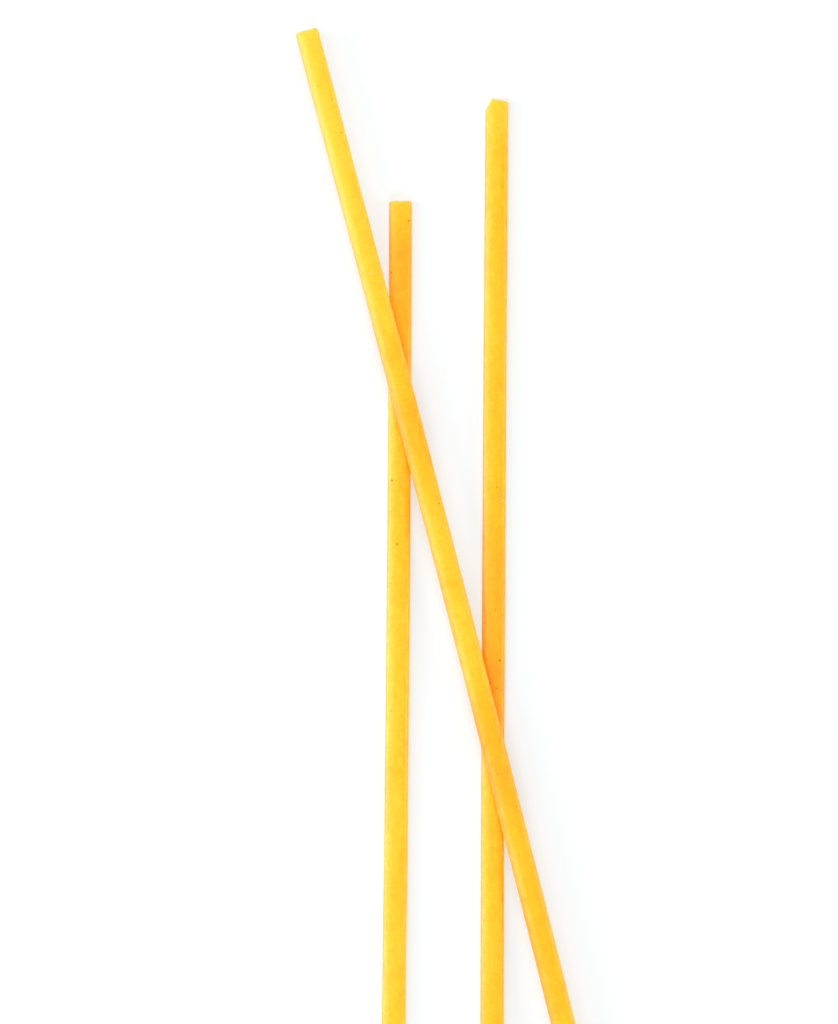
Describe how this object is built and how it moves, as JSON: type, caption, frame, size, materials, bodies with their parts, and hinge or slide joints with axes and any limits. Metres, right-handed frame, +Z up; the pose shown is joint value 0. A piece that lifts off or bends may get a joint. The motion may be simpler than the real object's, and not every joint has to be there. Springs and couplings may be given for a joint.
{
  "type": "dry linguine strands",
  "caption": "Loose strands of dry linguine lying flat, two side by side and one leaning across both.",
  "frame": {"origin": "on the surface that the lower two strands lie on, under the middle of the whole footprint", "axes": "+Z up; +Y along the strands, towards the ends that the picture shows; +X to the right as the picture is seen"},
  "size_m": [0.0658, 0.2852, 0.0043],
  "materials": {
    "durum_pasta": "dried dough, slightly waxy and translucent"
  },
  "bodies": {
    "root": {"strand_left": "durum_pasta", "strand_right": "durum_pasta", "strand_crossing": "durum_pasta"}
  },
  "joints": []
}
